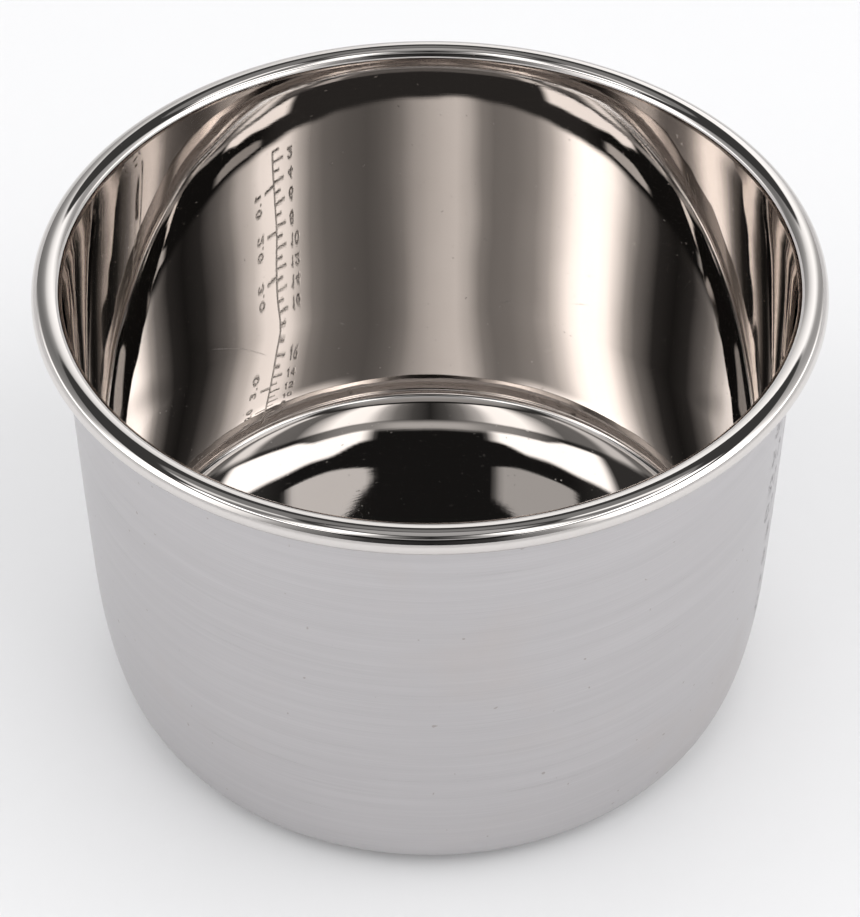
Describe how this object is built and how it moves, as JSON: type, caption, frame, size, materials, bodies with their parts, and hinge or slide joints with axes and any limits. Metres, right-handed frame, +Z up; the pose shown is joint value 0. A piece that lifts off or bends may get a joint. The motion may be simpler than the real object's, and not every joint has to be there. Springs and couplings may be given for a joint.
{
  "type": "pressure cooker inner pot",
  "caption": "Open round stainless steel pot with a rolled rim, a near-straight wall, a rounded bottom edge and a flat sandwich base.",
  "frame": {"origin": "centre of the base's underside, on the surface that the pot stands on", "axes": "+Z up along the pot's axis; -Y towards the viewer; the level scale is inside the wall on the +X side, a little towards -Y"},
  "size_m": [0.24, 0.24, 0.163],
  "materials": {
    "shell_steel": "mirror polished inside and on the rim, satin outside",
    "spreader_aluminium": "as rolled",
    "cap_steel": "turned satin"
  },
  "bodies": {
    "root": {"pot_shell": "shell_steel", "heat_spreader": "spreader_aluminium", "base_cap": "cap_steel"}
  },
  "joints": []
}
